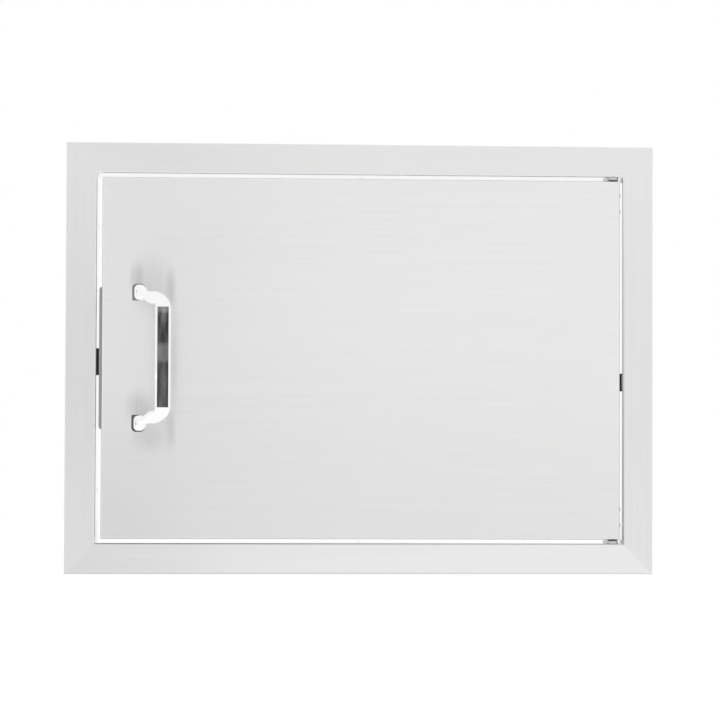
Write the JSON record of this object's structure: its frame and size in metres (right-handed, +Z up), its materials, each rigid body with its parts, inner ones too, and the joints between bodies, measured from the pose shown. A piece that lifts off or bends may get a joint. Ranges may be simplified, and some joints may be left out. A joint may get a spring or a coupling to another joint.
{
  "type": "outdoor kitchen access door",
  "caption": "Stainless access door for an outdoor kitchen island: mitred face frame with a sleeve, hollow door on hidden pivots, offset bar pull and magnetic catch.",
  "frame": {"origin": "centre of the cut-out, on the plane of the island's face behind the flange", "axes": "+X to the right and +Z up as seen from in front, +Y into the island"},
  "size_m": [0.6604, 0.089, 0.4826],
  "materials": {
    "frame_steel": "satin, grain along each rail",
    "door_steel": "satin, grain from side to side",
    "liner_steel": "dull mill finish",
    "plated_steel": "zinc plated",
    "leaf_steel": "satin",
    "pin_steel": "ground smooth",
    "strike_steel": "dull ferritic sheet",
    "pole_steel": "nickel plated",
    "fastener_steel": "bright, turned heads",
    "handle_chrome": "polished chrome plate",
    "catch_plastic": "black, lightly grained",
    "magnet": "dark sintered ferrite",
    "pad_rubber": "black, matt",
    "bush_plastic": "dark acetal"
  },
  "bodies": {
    "frame": {"catch_housing": "catch_plastic", "catch_magnet": "magnet", "catch_pole_plates": "pole_steel", "catch_screws": "fastener_steel", "edge_pad": "pad_rubber", "frame_leaf_lower": "leaf_steel", "frame_leaf_nuts": "fastener_steel", "frame_leaf_screws": "fastener_steel", "frame_leaf_upper": "leaf_steel", "frame_rail_bottom": "frame_steel", "frame_rail_hinge": "frame_steel", "frame_rail_latch": "frame_steel", "frame_rail_top": "frame_steel", "pivot_pin_lower": "pin_steel", "pivot_pin_upper": "pin_steel", "pivot_washers": "fastener_steel"},
    "door": {"door_skin": "door_steel", "door_liner": "liner_steel", "liner_screws": "fastener_steel", "stiffener_latch": "plated_steel", "stiffener_hinge": "plated_steel", "handle": "handle_chrome", "handle_backing_plate": "plated_steel", "handle_washers": "fastener_steel", "handle_screws": "fastener_steel", "strike_flange": "strike_steel", "strike_rivets": "fastener_steel", "door_leaf_upper": "plated_steel", "door_leaf_lower": "plated_steel", "door_leaf_rivets": "fastener_steel", "pivot_bush_upper": "bush_plastic", "pivot_bush_lower": "bush_plastic"}
  },
  "joints": [
    {"name": "door_hinge", "type": "hinge", "parent": "frame", "child": "door", "pos_m": [0.2857, 0.003, 0], "axis": [0, 0, 1], "range_deg": [0, 115]}
  ]
}
